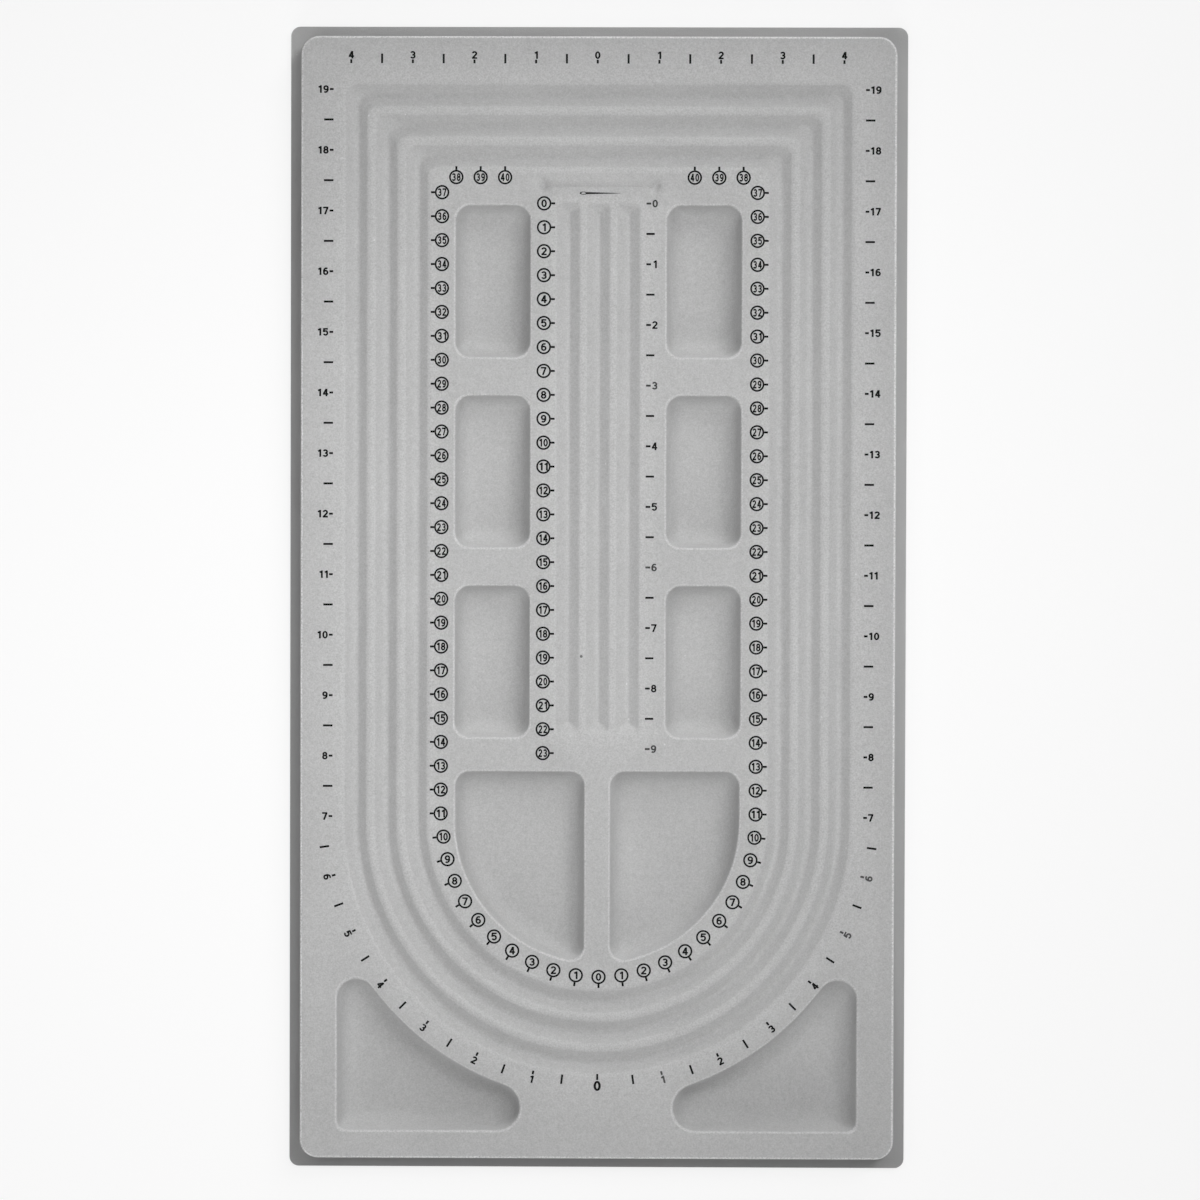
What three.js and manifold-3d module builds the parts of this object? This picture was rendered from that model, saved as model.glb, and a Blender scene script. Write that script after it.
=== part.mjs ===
// Bead board: a formed plastic sheet with channels and trays, and the flock layer over its upper side.
// Millimetres, +Z up, +Y towards the square end of the channels, origin under the middle of the flange.
import * as THREE from "three";
import Module from "manifold-3d";

const wasm = await Module();
wasm.setup();

// Sheet and flange
const boardWidth = 260.6;
const boardLength = 482.6;
const flangeCornerRadius = 4;
const sheetThickness = 1;

// Raised plateau
const plateauWidth = 248;
const plateauLength = 469.6;
const plateauHeight = 14;
const plateauCornerRadius = 6.7;
const wallDraft = THREE.MathUtils.degToRad(5);
const rimRadius = 1.1;
const rootRadius = 1.2;

// Flock over the sheet, with room for its adhesive
const adhesiveGap = 0.3;
const pileThickness = 0.6;

// Concentric bead channels, square at the top and half round at the bottom
const channelPitch = 12.7;
const channelCount = 3;
const channelDepth = 3.2;
const channelWallSlope = THREE.MathUtils.degToRad(38);
const outerChannelHalfWidth = 101.6;
const outerChannelTop = 210.9;
const arcCentreY = -93.5;

// Straight centre channels
const straightPitch = 12.6;
const straightWidth = 11.8;
const straightDepth = 3;
const straightWallSlope = THREE.MathUtils.degToRad(35);
const straightCornerRadius = 2.5;
const straightTop = 166.8;
const straightBottom = -57.2;

// Rectangular trays, two columns of three
const trayWidth = 32.8;
const trayLength = 65.2;
const trayCentreX = 44.3;
const trayMiddleY = 53.3;
const trayPitch = 79.8;
const trayCornerRadius = 6.5;
const trayFloorCornerRadius = 3.6;

// Quarter-round trays
const quarterRadius = 60.4;
const quarterTop = -71.9;
const quarterDividerWidth = 9.4;
const quarterCornerRadius = 6.2;
const quarterFloorCornerRadius = 3.6;

// Curved corner trays
const cornerTrayOuterX = 110;
const cornerTrayBottom = -224.7;
const cornerTrayArcRadius = 117;
const cornerTrayUpperRadius = 8.6;
const cornerTrayInnerRadius = 10.6;
const cornerTrayHeelRadius = 4;
const cornerTrayTipFloorRadius = 1.2;
const cornerTrayHeelFloorRadius = 7;

// Section shared by all the trays
const trayDepth = 12;
const trayDraft = THREE.MathUtils.degToRad(11);
const trayFloorFillet = 9;
const trayEdgeRadius = 1.2;

// Needle rest: a narrow slot between two finger dimples
const needleY = 173.5;
const needleHalfSpan = 23;
const needleSlotWidth = 4.4;
const needleSlotDepth = 0.7;
const needleSlotSlope = THREE.MathUtils.degToRad(25);
const dimpleRadius = 5.2;
const dimpleDepth = 1.5;
const dimpleSlope = THREE.MathUtils.degToRad(30);

// Facets
const cornerSteps = 3;
const lobeSteps = 4;
const dimpleSteps = 12;
const arcSteps = 7;
const loopSteps = 24;
const edgeSteps = 1;
const footSteps = 3;
const crestSteps = 1;
const valleySteps = 2;

// How far cutting solids reach past the faces that they cut
const overlap = 4;

// Points on an arc from one angle to another, both ends included
function arcPoints(centreX, centreY, radius, from, to, steps) {
  const curve = new THREE.EllipseCurve(centreX, centreY, radius, radius, from, to, to < from, 0);
  return curve.getPoints(steps);
}

// A rectangle with rounded corners, counterclockwise
function roundedRectangle(centreX, centreY, width, length, radius) {
  const reachX = width / 2 - radius;
  const reachY = length / 2 - radius;
  const quarter = Math.PI / 2;
  return [
    ...arcPoints(centreX + reachX, centreY + reachY, radius, 0, quarter, cornerSteps),
    ...arcPoints(centreX - reachX, centreY + reachY, radius, quarter, 2 * quarter, cornerSteps),
    ...arcPoints(centreX - reachX, centreY - reachY, radius, 2 * quarter, 3 * quarter, cornerSteps),
    ...arcPoints(centreX + reachX, centreY - reachY, radius, 3 * quarter, 4 * quarter, cornerSteps),
  ];
}

// A slot with two half-round ends along Y
function uprightSlot(centreX, bottom, top, radius) {
  const steps = 2 * cornerSteps;
  return [
    ...arcPoints(centreX, top - radius, radius, 0, Math.PI, steps),
    ...arcPoints(centreX, bottom + radius, radius, Math.PI, 2 * Math.PI, steps),
  ];
}

// The right-hand quarter-round tray
function quarterTray(inset, radius) {
  const inner = quarterDividerWidth / 2 + inset;
  const outer = quarterRadius - inset;
  const top = quarterTop - inset;
  const lobeX = inner + radius;
  const lobeY = arcCentreY - Math.sqrt((outer - radius) ** 2 - lobeX ** 2);
  const meet = Math.atan2(lobeY - arcCentreY, lobeX);
  return [
    ...arcPoints(lobeX, lobeY, radius, Math.PI, 2 * Math.PI + meet, cornerSteps),
    ...arcPoints(0, arcCentreY, outer, meet, 0, arcSteps).slice(1),
    ...arcPoints(outer - radius, top - radius, radius, 0, Math.PI / 2, cornerSteps),
    ...arcPoints(lobeX, top - radius, radius, Math.PI / 2, Math.PI, cornerSteps),
  ];
}

// The right-hand corner tray, whose inner side follows the channels, with the radii of its three corners
function cornerTray(inset, upper, inner, heel) {
  const outer = cornerTrayOuterX - inset;
  const bottom = cornerTrayBottom + inset;
  const reach = cornerTrayArcRadius + inset;
  const upperX = outer - upper;
  const upperY = arcCentreY - Math.sqrt((reach + upper) ** 2 - upperX ** 2);
  const innerY = bottom + inner;
  const innerX = Math.sqrt((reach + inner) ** 2 - (innerY - arcCentreY) ** 2);
  const upperTurn = Math.atan2(upperY - arcCentreY, upperX);
  const innerTurn = Math.atan2(innerY - arcCentreY, innerX);
  return [
    ...arcPoints(upperX, upperY, upper, 0, Math.PI + upperTurn, lobeSteps),
    ...arcPoints(0, arcCentreY, reach, upperTurn, innerTurn, arcSteps).slice(1, -1),
    ...arcPoints(innerX, innerY, inner, Math.PI + innerTurn, 1.5 * Math.PI, lobeSteps),
    ...arcPoints(outer - heel, bottom + heel, heel, 1.5 * Math.PI, 2 * Math.PI, cornerSteps),
  ];
}

// One closed loop of the channels at a given half width, counterclockwise
function channelLoop(halfWidth) {
  const top = outerChannelTop + halfWidth - outerChannelHalfWidth;
  return [
    new THREE.Vector2(halfWidth, top),
    new THREE.Vector2(-halfWidth, top),
    ...arcPoints(0, arcCentreY, halfWidth, Math.PI, 2 * Math.PI, loopSteps),
  ];
}

function mirrored(points) {
  return points.map((point) => new THREE.Vector2(-point.x, point.y)).reverse();
}

// A section point: how far it is inside the outline, its height, and the way into the material
function sectionPoint(inset, height, turn) {
  return { inset, height, intoX: -Math.sin(turn), intoZ: -Math.cos(turn) };
}

// A wall that drops from a level face: rounded edge, drafted wall, rounded foot
function wallSection(depth, draft, edgeRadius, footRadius) {
  const slope = Math.PI / 2 - draft;
  const points = [];
  const edgeStart = -edgeRadius * Math.tan(slope / 2);
  for (let step = 0; step <= edgeSteps; step++) {
    const turn = (slope * step) / edgeSteps;
    const inset = edgeStart + edgeRadius * Math.sin(turn);
    points.push(sectionPoint(inset, -edgeRadius * (1 - Math.cos(turn)), turn));
  }
  const footEnd = depth * Math.tan(draft) + footRadius * Math.tan(slope / 2);
  for (let step = footSteps; step >= 0; step--) {
    const turn = (slope * step) / footSteps;
    const inset = footEnd - footRadius * Math.sin(turn);
    points.push(sectionPoint(inset, footRadius * (1 - Math.cos(turn)) - depth, turn));
  }
  return points;
}

// Half a channel: rounded crest at zero, sloping wall, then an equally rounded valley at half the width
function waveSection(halfWidth, depth, slope) {
  const radius = (halfWidth * Math.tan(slope) - depth) / 2 / (1 / Math.cos(slope) - 1);
  const points = [];
  for (let step = 0; step <= crestSteps; step++) {
    const turn = (slope * step) / crestSteps;
    points.push(sectionPoint(radius * Math.sin(turn), -radius * (1 - Math.cos(turn)), turn));
  }
  for (let step = valleySteps; step >= 0; step--) {
    const turn = (slope * step) / valleySteps;
    const inset = halfWidth - radius * Math.sin(turn);
    points.push(sectionPoint(inset, radius * (1 - Math.cos(turn)) - depth, turn));
  }
  return points;
}

function shifted(point, offset) {
  return { inset: point.inset + offset * point.intoX, height: point.height + offset * point.intoZ };
}

function solidOf(positions, triangles) {
  const geometry = new THREE.BufferGeometry();
  geometry.setAttribute("position", new THREE.Float32BufferAttribute(positions, 3));
  geometry.setIndex(triangles);
  const mesh = new wasm.Mesh({
    numProp: 3,
    vertProperties: geometry.getAttribute("position").array,
    triVerts: new Uint32Array(geometry.getIndex().array),
  });
  return new wasm.Manifold(mesh);
}

// Joins equal rings of points; counterclockwise rings that climb make faces that look outwards
function pushRings(triangles, ringCount, ringSize, closed) {
  const bands = closed ? ringCount : ringCount - 1;
  for (let ring = 0; ring < bands; ring++) {
    const low = ring * ringSize;
    const high = ((ring + 1) % ringCount) * ringSize;
    for (let index = 0; index < ringSize; index++) {
      const next = (index + 1) % ringSize;
      triangles.push(low + index, low + next, high + next);
      triangles.push(low + index, high + next, high + index);
    }
  }
}

// A closed solid through climbing outlines, capped flat at both ends
function loft(rings) {
  const size = rings[0].points.length;
  const positions = rings.flatMap((ring) => ring.points.flatMap((point) => [point.x, point.y, ring.height]));
  const triangles = [];
  pushRings(triangles, rings.length, size, false);
  const last = (rings.length - 1) * size;
  for (const [a, b, c] of THREE.ShapeUtils.triangulateShape(rings[0].points, [])) {
    triangles.push(c, b, a);
  }
  for (const [a, b, c] of THREE.ShapeUtils.triangulateShape(rings[rings.length - 1].points, [])) {
    triangles.push(last + a, last + b, last + c);
  }
  return solidOf(positions, triangles);
}

// The air in a recess: section points from the rim down, offset into the material or out of it
function recess(outlineAt, section, offset) {
  const levels = section.map((point) => shifted(point, offset));
  const rings = levels.map((level) => ({
    points: outlineAt(level.inset),
    height: plateauHeight + level.height,
  }));
  rings.reverse();
  rings.push({ points: outlineAt(levels[0].inset), height: plateauHeight + overlap });
  return loft(rings);
}

// All the channel air as one ring with a waved floor
function channelBand(offset) {
  const half = waveSection(channelPitch / 2, channelDepth, channelWallSlope);
  const band = [];
  const outerEdge = outerChannelHalfWidth + channelPitch / 2;
  for (let channel = 0; channel < channelCount; channel++) {
    const crest = outerEdge - channel * channelPitch;
    const nextCrest = crest - channelPitch;
    const first = channel === 0 ? 0 : 1;
    for (const point of half.slice(first)) {
      const level = shifted(point, offset);
      band.push({ halfWidth: crest - level.inset, height: level.height });
    }
    for (const point of half.slice(0, -1).reverse()) {
      const level = shifted(point, offset);
      band.push({ halfWidth: nextCrest + level.inset, height: level.height });
    }
  }
  band.push({ halfWidth: band[band.length - 1].halfWidth, height: overlap });
  band.push({ halfWidth: band[0].halfWidth, height: overlap });
  const positions = [];
  for (const level of band) {
    for (const point of channelLoop(level.halfWidth)) {
      positions.push(point.x, point.y, plateauHeight + level.height);
    }
  }
  const triangles = [];
  pushRings(triangles, band.length, channelLoop(1).length, true);
  for (let index = 0; index < triangles.length; index += 3) {
    [triangles[index + 1], triangles[index + 2]] = [triangles[index + 2], triangles[index + 1]];
  }
  return solidOf(positions, triangles);
}

// Corner radius that eases from the rim to the floor of a tray
function easedRadius(rim, floor, inset, section) {
  const share = inset / section[section.length - 1].inset;
  return rim + (floor - rim) * share;
}

// All the air above the sheet, moved by an offset: positive into the sheet, negative out of it
function recesses(offset) {
  const section = wallSection(trayDepth, trayDraft, trayEdgeRadius, trayFloorFillet);
  const found = [channelBand(offset)];
  for (const column of [-1, 1]) {
    for (const row of [-1, 0, 1]) {
      const outlineAt = (inset) =>
        roundedRectangle(
          column * trayCentreX,
          trayMiddleY + row * trayPitch,
          trayWidth - 2 * inset,
          trayLength - 2 * inset,
          easedRadius(trayCornerRadius, trayFloorCornerRadius, inset, section),
        );
      found.push(recess(outlineAt, section, offset));
    }
    const turnedOver = column < 0 ? mirrored : (points) => points;
    const quarterAt = (inset) =>
      quarterTray(inset, easedRadius(quarterCornerRadius, quarterFloorCornerRadius, inset, section));
    found.push(recess((inset) => turnedOver(quarterAt(inset)), section, offset));
    const cornerAt = (inset) =>
      cornerTray(
        inset,
        easedRadius(cornerTrayUpperRadius, cornerTrayTipFloorRadius, inset, section),
        easedRadius(cornerTrayInnerRadius, cornerTrayTipFloorRadius, inset, section),
        easedRadius(cornerTrayHeelRadius, cornerTrayHeelFloorRadius, inset, section),
      );
    found.push(recess((inset) => turnedOver(cornerAt(inset)), section, offset));
  }
  const straight = waveSection(straightWidth / 2, straightDepth, straightWallSlope).slice(0, -1);
  for (const place of [-1, 0, 1]) {
    const slotAt = (inset) =>
      roundedRectangle(
        place * straightPitch,
        (straightTop + straightBottom) / 2,
        straightWidth - 2 * inset,
        straightTop - straightBottom - 2 * inset,
        straightCornerRadius * (1 - (2 * inset) / straightWidth),
      );
    found.push(recess(slotAt, straight, offset));
  }
  const slotSection = waveSection(needleSlotWidth / 2, needleSlotDepth, needleSlotSlope).slice(0, -1);
  const needleAt = (inset) =>
    uprightSlot(0, -needleHalfSpan, needleHalfSpan, needleSlotWidth / 2 - inset).map(
      (point) => new THREE.Vector2(-point.y, needleY + point.x),
    );
  found.push(recess(needleAt, slotSection, offset));
  const dimpleSection = waveSection(dimpleRadius, dimpleDepth, dimpleSlope).slice(0, -1);
  for (const end of [-1, 1]) {
    const dimpleAt = (inset) =>
      arcPoints(end * needleHalfSpan, needleY, dimpleRadius - inset, 0, 2 * Math.PI, dimpleSteps).slice(1);
    found.push(recess(dimpleAt, dimpleSection, offset));
  }
  return wasm.Manifold.union(found);
}

// The plateau as a full block, its faces moved by an offset, from a given height up
function plateauBlock(offset, bottom) {
  const section = wallSection(plateauHeight - sheetThickness, wallDraft, rimRadius, rootRadius);
  const outlineAt = (outset) =>
    roundedRectangle(
      0,
      0,
      plateauWidth + 2 * outset,
      plateauLength + 2 * outset,
      plateauCornerRadius + outset,
    );
  const levels = section.map((point) => shifted(point, offset));
  const rings = levels.map((level) => ({
    points: outlineAt(level.inset),
    height: plateauHeight + level.height,
  }));
  rings.push({ points: outlineAt(levels[levels.length - 1].inset), height: bottom });
  rings.reverse();
  return loft(rings);
}

// The flange, wider by a margin all round
function flangePlate(margin, bottom, top) {
  const points = roundedRectangle(
    0,
    0,
    boardWidth + 2 * margin,
    boardLength + 2 * margin,
    flangeCornerRadius + margin,
  );
  return loft([
    { points, height: bottom },
    { points, height: top },
  ]);
}

function sheetSolid() {
  const body = plateauBlock(0, 0).add(flangePlate(0, 0, sheetThickness)).subtract(recesses(0));
  const hollow = plateauBlock(sheetThickness, -overlap).subtract(recesses(sheetThickness));
  return body.subtract(hollow);
}

function flockSolid() {
  const pileTop = adhesiveGap + pileThickness;
  const pile = plateauBlock(-pileTop, 0)
    .add(flangePlate(0, 0, sheetThickness + pileTop))
    .subtract(recesses(-pileTop));
  const under = plateauBlock(-adhesiveGap, -overlap)
    .add(flangePlate(overlap, -overlap, sheetThickness + adhesiveGap))
    .subtract(recesses(-adhesiveGap));
  return pile.subtract(under);
}

function meshOf(name, solid, colour, roughness) {
  const made = solid.getMesh();
  const geometry = new THREE.BufferGeometry();
  geometry.setAttribute("position", new THREE.Float32BufferAttribute(made.vertProperties, 3));
  geometry.setIndex(new THREE.BufferAttribute(made.triVerts, 1));
  geometry.computeVertexNormals();
  const material = new THREE.MeshStandardMaterial({ color: colour, roughness, metalness: 0 });
  const mesh = new THREE.Mesh(geometry, material);
  mesh.name = name;
  return mesh;
}

const board = new THREE.Group();
board.add(meshOf("formed_sheet", sheetSolid(), 0x6e6e6e, 0.55));
board.add(meshOf("flock_layer", flockSolid(), 0xb4b4b4, 1));

export default board;
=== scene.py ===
import math
import bmesh
import bpy
from mathutils import Matrix, Vector
from mathutils.bvhtree import BVHTree


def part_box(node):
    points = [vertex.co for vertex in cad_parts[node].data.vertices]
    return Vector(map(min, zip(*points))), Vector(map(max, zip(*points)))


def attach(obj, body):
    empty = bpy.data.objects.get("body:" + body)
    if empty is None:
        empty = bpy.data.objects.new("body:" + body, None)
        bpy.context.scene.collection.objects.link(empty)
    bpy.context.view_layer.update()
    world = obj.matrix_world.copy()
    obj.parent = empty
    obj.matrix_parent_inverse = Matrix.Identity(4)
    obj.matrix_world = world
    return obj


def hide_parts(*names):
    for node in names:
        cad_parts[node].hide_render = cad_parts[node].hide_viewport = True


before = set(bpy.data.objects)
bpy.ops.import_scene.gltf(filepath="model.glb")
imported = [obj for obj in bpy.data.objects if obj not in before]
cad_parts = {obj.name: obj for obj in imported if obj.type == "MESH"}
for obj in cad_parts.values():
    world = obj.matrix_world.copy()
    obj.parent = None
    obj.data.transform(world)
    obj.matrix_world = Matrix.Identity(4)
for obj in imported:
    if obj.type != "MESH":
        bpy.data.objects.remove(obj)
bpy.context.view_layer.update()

mm = 0.001  # pieces are modelled in millimetres and scaled once, when they are finished
quarter = math.pi / 2
sheetLow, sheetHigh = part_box("formed_sheet")
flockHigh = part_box("flock_layer")[1]

# The formed sheet, its flange and the raised plateau
sheet = {
    "width": (sheetHigh.x - sheetLow.x) / mm,
    "length": (sheetHigh.y - sheetLow.y) / mm,
    "height": sheetHigh.z / mm,
    "thickness": 1.0,
    "flangeCorner": 4.0,
    "plateauWidth": 248.0,
    "plateauLength": 469.6,
    "plateauCorner": 6.7,
    "wallDraft": math.radians(5),
    "rimRadius": 0.15,
    "rootRadius": 1.2,
}

# The pile on top of it, a little below the CAD's so that the ink has room
inkRoom = 0.04
flock = {
    "lift": (flockHigh.z - sheetHigh.z) / mm - inkRoom,
    "backing": 0.3,
}

# Three bead channels side by side, square at the top and half round at the bottom
channels = {
    "pitch": 12.7,
    "count": 3,
    "depth": 3.2,
    "wallSlope": math.radians(38),
    "outerHalfWidth": 101.6,
    "outerTop": 210.9,
    "arcY": -93.5,
    "cornerRadius": 4.5,
    "wornAndSheenDrop": 0.35,
}

# Three straight channels between the tray columns
straights = {
    "pitch": 12.6,
    "width": 11.8,
    "depth": 3.0,
    "wallSlope": math.radians(35),
    "rimCorner": 2.5,
    "top": 166.8,
    "bottom": -57.2,
}

# What every tray's wall shares
trayWall = {
    "depth": 12.0,
    "draft": math.radians(11),
    "edgeRadius": 0.15,
    "floorFillet": 9.0,
}
recessWearAndSheen = 0.4  # how pale the pile is along tray rims, from wear and a painted highlight, against the outer rim
crestWearAndSheen = 0.16  # and along the crests of the channels

boxTrays = {
    "width": 32.8,
    "length": 65.2,
    "centreX": 44.3,
    "middleY": 53.3,
    "pitch": 79.8,
    "rimCorner": 6.5,
    "floorCorner": 3.6,
}

quarterTrays = {
    "radius": 60.4,
    "top": -71.9,
    "divider": 9.4,
    "rimCorner": 6.2,
    "floorCorner": 3.6,
}

cornerTrays = {
    "outerX": 110.0,
    "bottom": -224.7,
    "arcRadius": 117.0,
    "upperRim": 8.6,
    "innerRim": 10.6,
    "heelRim": 4.0,
    "upperFloor": 1.2,
    "innerFloor": 1.2,
    "heelFloor": 7.0,
}

# A narrow slot for a needle between two finger dimples
needleRest = {
    "y": 173.0,
    "halfSpan": 23.4,
    "slotWidth": 4.4,
    "slotDepth": 0.9,
    "slotSlope": math.radians(35),
    "dimpleRadius": 5.2,
    "dimpleDepth": 2.2,
    "dimpleSlope": math.radians(45),
    "mouth": 0.12,
    "ramp": 1.6,
}

# How finely round stretches are stepped
steps = {
    "corner": 8,
    "longArc": 20,
    "loopArc": 72,
    "edge": 5,
    "foot": 7,
    "crest": 5,
    "valley": 5,
    "flatMargin": 0.5,
    "narrowMargin": 0.15,
    "leastRadius": 0.1,
    "levelStep": 0.004,  # flat strips slope by this much, so that a bridge can tell which way is up
    "weld": 0.001,  # ends of arcs closer than this are one point
    "merge": 0.0005,  # and so are points of the finished board
}
crease = math.radians(40)  # faces that meet at more than this stay sharp

# Which levels of a wall lie on its rounded edge, and which of a straight channel lie on its rim
edgeLevels = range(2, steps["edge"] + 1)
straightRimLevels = range(4)


# A wall that drops from a level face: rounded edge, drafted wall, rounded foot, a flat strip at both ends
def wallSection(depth, draft, edgeRadius, footRadius, lift):
    slope = quarter - draft
    rim = max(edgeRadius + lift, steps["leastRadius"])
    rimStart = (lift - rim) * math.tan(slope / 2)
    footEnd = depth * math.tan(draft) + footRadius * math.tan(slope / 2)
    levels = [(rimStart - steps["flatMargin"], lift - steps["levelStep"])]
    for step in range(steps["edge"] + 1):
        turn = slope * step / steps["edge"]
        levels.append((rimStart + rim * math.sin(turn), lift - rim + rim * math.cos(turn)))
    for step in range(steps["foot"], -1, -1):
        turn = slope * step / steps["foot"]
        rise = footRadius - (footRadius - lift) * math.cos(turn)
        levels.append((footEnd - (footRadius - lift) * math.sin(turn), rise - depth))
    levels.append((footEnd + steps["flatMargin"], lift - depth + steps["levelStep"]))
    return levels


# Half a channel: rounded crest at zero, sloping wall, then an equally rounded valley at the half width
def waveSection(halfWidth, depth, slope, lift):
    radius = (halfWidth * math.tan(slope) - depth) / 2 / (1 / math.cos(slope) - 1)
    levels = []
    for step in range(steps["crest"] + 1):
        turn = slope * step / steps["crest"]
        drop = radius - (radius + lift) * math.cos(turn)
        levels.append(((radius + lift) * math.sin(turn), -drop))
    for step in range(steps["valley"], -1, -1):
        turn = slope * step / steps["valley"]
        rise = radius - (radius - lift) * math.cos(turn)
        levels.append((halfWidth - (radius - lift) * math.sin(turn), rise - depth))
    return levels


# Half a channel as a hollow of its own: a narrow level strip first, and a flat floor for the last step
def hollowSection(halfWidth, depth, slope, lift):
    levels = waveSection(halfWidth, depth, slope, lift)[:-1]
    return [(-steps["narrowMargin"], lift - steps["levelStep"])] + levels


# Outlines are lists of arcs: centre x, centre y, radius, first angle, last angle, steps
def roundedBox(x, y, halfX, halfY, radius):
    reachX = halfX - radius
    reachY = halfY - radius
    places = [(1, 1), (-1, 1), (-1, -1), (1, -1)]
    arcs = []
    for index, (sideX, sideY) in enumerate(places):
        begin = index * quarter
        centre = (x + sideX * reachX, y + sideY * reachY)
        arcs.append((*centre, radius, begin, begin + quarter, steps["corner"]))
    return arcs


def channelLoop(halfWidth):
    radius = channels["cornerRadius"]
    top = channels["outerTop"] + halfWidth - channels["outerHalfWidth"]
    return [
        (halfWidth - radius, top - radius, radius, 0, quarter, steps["corner"]),
        (radius - halfWidth, top - radius, radius, quarter, math.pi, steps["corner"]),
        (0, channels["arcY"], halfWidth, math.pi, 2 * math.pi, steps["loopArc"]),
    ]


def quarterTray(inset, radius):
    inner = quarterTrays["divider"] / 2 + inset
    outer = quarterTrays["radius"] - inset
    top = quarterTrays["top"] - inset
    lobeX = inner + radius
    lobeY = channels["arcY"] - math.sqrt((outer - radius) ** 2 - lobeX ** 2)
    meet = math.atan2(lobeY - channels["arcY"], lobeX)
    return [
        (lobeX, lobeY, radius, math.pi, 2 * math.pi + meet, steps["corner"]),
        (0, channels["arcY"], outer, meet, 0, steps["longArc"]),
        (outer - radius, top - radius, radius, 0, quarter, steps["corner"]),
        (lobeX, top - radius, radius, quarter, math.pi, steps["corner"]),
    ]


# The side that follows the channels is hollow, so its arc runs clockwise
def cornerTray(inset, upper, inner, heel):
    outer = cornerTrays["outerX"] - inset
    bottom = cornerTrays["bottom"] + inset
    reach = cornerTrays["arcRadius"] + inset
    upperX = outer - upper
    upperY = channels["arcY"] - math.sqrt((reach + upper) ** 2 - upperX ** 2)
    innerY = bottom + inner
    innerX = math.sqrt((reach + inner) ** 2 - (innerY - channels["arcY"]) ** 2)
    upperTurn = math.atan2(upperY - channels["arcY"], upperX)
    innerTurn = math.atan2(innerY - channels["arcY"], innerX)
    return [
        (upperX, upperY, upper, 0, math.pi + upperTurn, 2 * steps["corner"]),
        (0, channels["arcY"], reach, upperTurn, innerTurn, steps["longArc"]),
        (innerX, innerY, inner, math.pi + innerTurn, 3 * quarter, 2 * steps["corner"]),
        (outer - heel, bottom + heel, heel, 3 * quarter, 4 * quarter, steps["corner"]),
    ]


# A patch carries how pale each point is kept by wear and a painted highlight, and which part of the plateau
# each rim edge bounds
plateauParts = {"outside channels": 1, "inside channels": 2}


def newPatch():
    patch = bmesh.new()
    patch.verts.layers.float.new("rimWearAndSheen")
    patch.edges.layers.int.new("plateauPart")
    return patch


def addPatch(board, patch, bothSides=False):
    mesh = bpy.data.meshes.new("patch")
    patch.to_mesh(mesh)
    patch.free()
    board.from_mesh(mesh)
    if bothSides:
        mesh.transform(Matrix.Scale(-1, 4, (1, 0, 0)))
        board.from_mesh(mesh)
    bpy.data.meshes.remove(mesh)


# One closed wire: each arc is a vertex spun about its centre, joined to the next arc
def wireLoop(arcs, height):
    wire = newPatch()
    starts = []
    ends = []
    for x, y, radius, begin, end, count in arcs:
        first = wire.verts.new((x + radius * math.cos(begin), y + radius * math.sin(begin), height))
        swept = bmesh.ops.spin(
            wire, geom=[first], cent=(x, y, height), axis=(0, 0, 1), angle=end - begin, steps=count
        )
        starts.append(first)
        ends.append(swept["geom_last"][0])
    for index, end in enumerate(ends):
        start = starts[(index + 1) % len(starts)]
        if (start.co - end.co).length < steps["weld"]:
            bmesh.ops.weld_verts(wire, targetmap={start: end})
        else:
            wire.edges.new((end, start))
    return wire


# Adds a wire to a patch and gives back its edges there
def addWire(patch, wire, wearAndSheen=0.0):
    wearAndSheenLayer = wire.verts.layers.float["rimWearAndSheen"]
    for vert in wire.verts:
        vert[wearAndSheenLayer] = wearAndSheen
    before = len(patch.edges)
    addPatch(patch, wire)
    patch.edges.ensure_lookup_table()
    return patch.edges[before:]


# Rings at successive levels, bridged into one surface
def ladder(patch, rings):
    for upper, lower in zip(rings, rings[1:]):
        bmesh.ops.bridge_loops(patch, edges=upper + lower)


def markRim(patch, rim, part):
    layer = patch.edges.layers.int["plateauPart"]
    for edge in rim:
        edge[layer] = plateauParts[part]


# A closed hollow whose outline changes with the inset, from its rim down to its floor
def recess(outlineAt, section, part, wornAndSheenLevels, wornAndSheen):
    patch = newPatch()
    rings = []
    for index, (inset, height) in enumerate(section):
        wearAndSheen = wornAndSheen if index in wornAndSheenLevels else 0.0
        rings.append(addWire(patch, wireLoop(outlineAt(inset), sheet["height"] + height), wearAndSheen))
    ladder(patch, rings)
    bmesh.ops.edgeloop_fill(patch, edges=rings[-1])
    markRim(patch, rings[0], part)
    return patch


def eased(rim, floor, inset, section):
    return rim + (floor - rim) * inset / section[-1][0]


def addTrays(board, lift):
    section = wallSection(
        trayWall["depth"], trayWall["draft"], trayWall["edgeRadius"], trayWall["floorFillet"], lift
    )

    def quarterAt(inset):
        radius = eased(quarterTrays["rimCorner"], quarterTrays["floorCorner"], inset, section)
        return quarterTray(inset, radius)

    def cornerAt(inset):
        radii = []
        for name in ("upper", "inner", "heel"):
            radii.append(eased(cornerTrays[name + "Rim"], cornerTrays[name + "Floor"], inset, section))
        return cornerTray(inset, *radii)

    for row in (-1, 0, 1):
        def boxAt(inset):
            return roundedBox(
                boxTrays["centreX"],
                boxTrays["middleY"] + row * boxTrays["pitch"],
                boxTrays["width"] / 2 - inset,
                boxTrays["length"] / 2 - inset,
                eased(boxTrays["rimCorner"], boxTrays["floorCorner"], inset, section),
            )
        addPatch(board, recess(boxAt, section, "inside channels", edgeLevels, recessWearAndSheen), bothSides=True)
    addPatch(board, recess(quarterAt, section, "inside channels", edgeLevels, recessWearAndSheen), bothSides=True)
    addPatch(board, recess(cornerAt, section, "outside channels", edgeLevels, recessWearAndSheen), bothSides=True)


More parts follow.
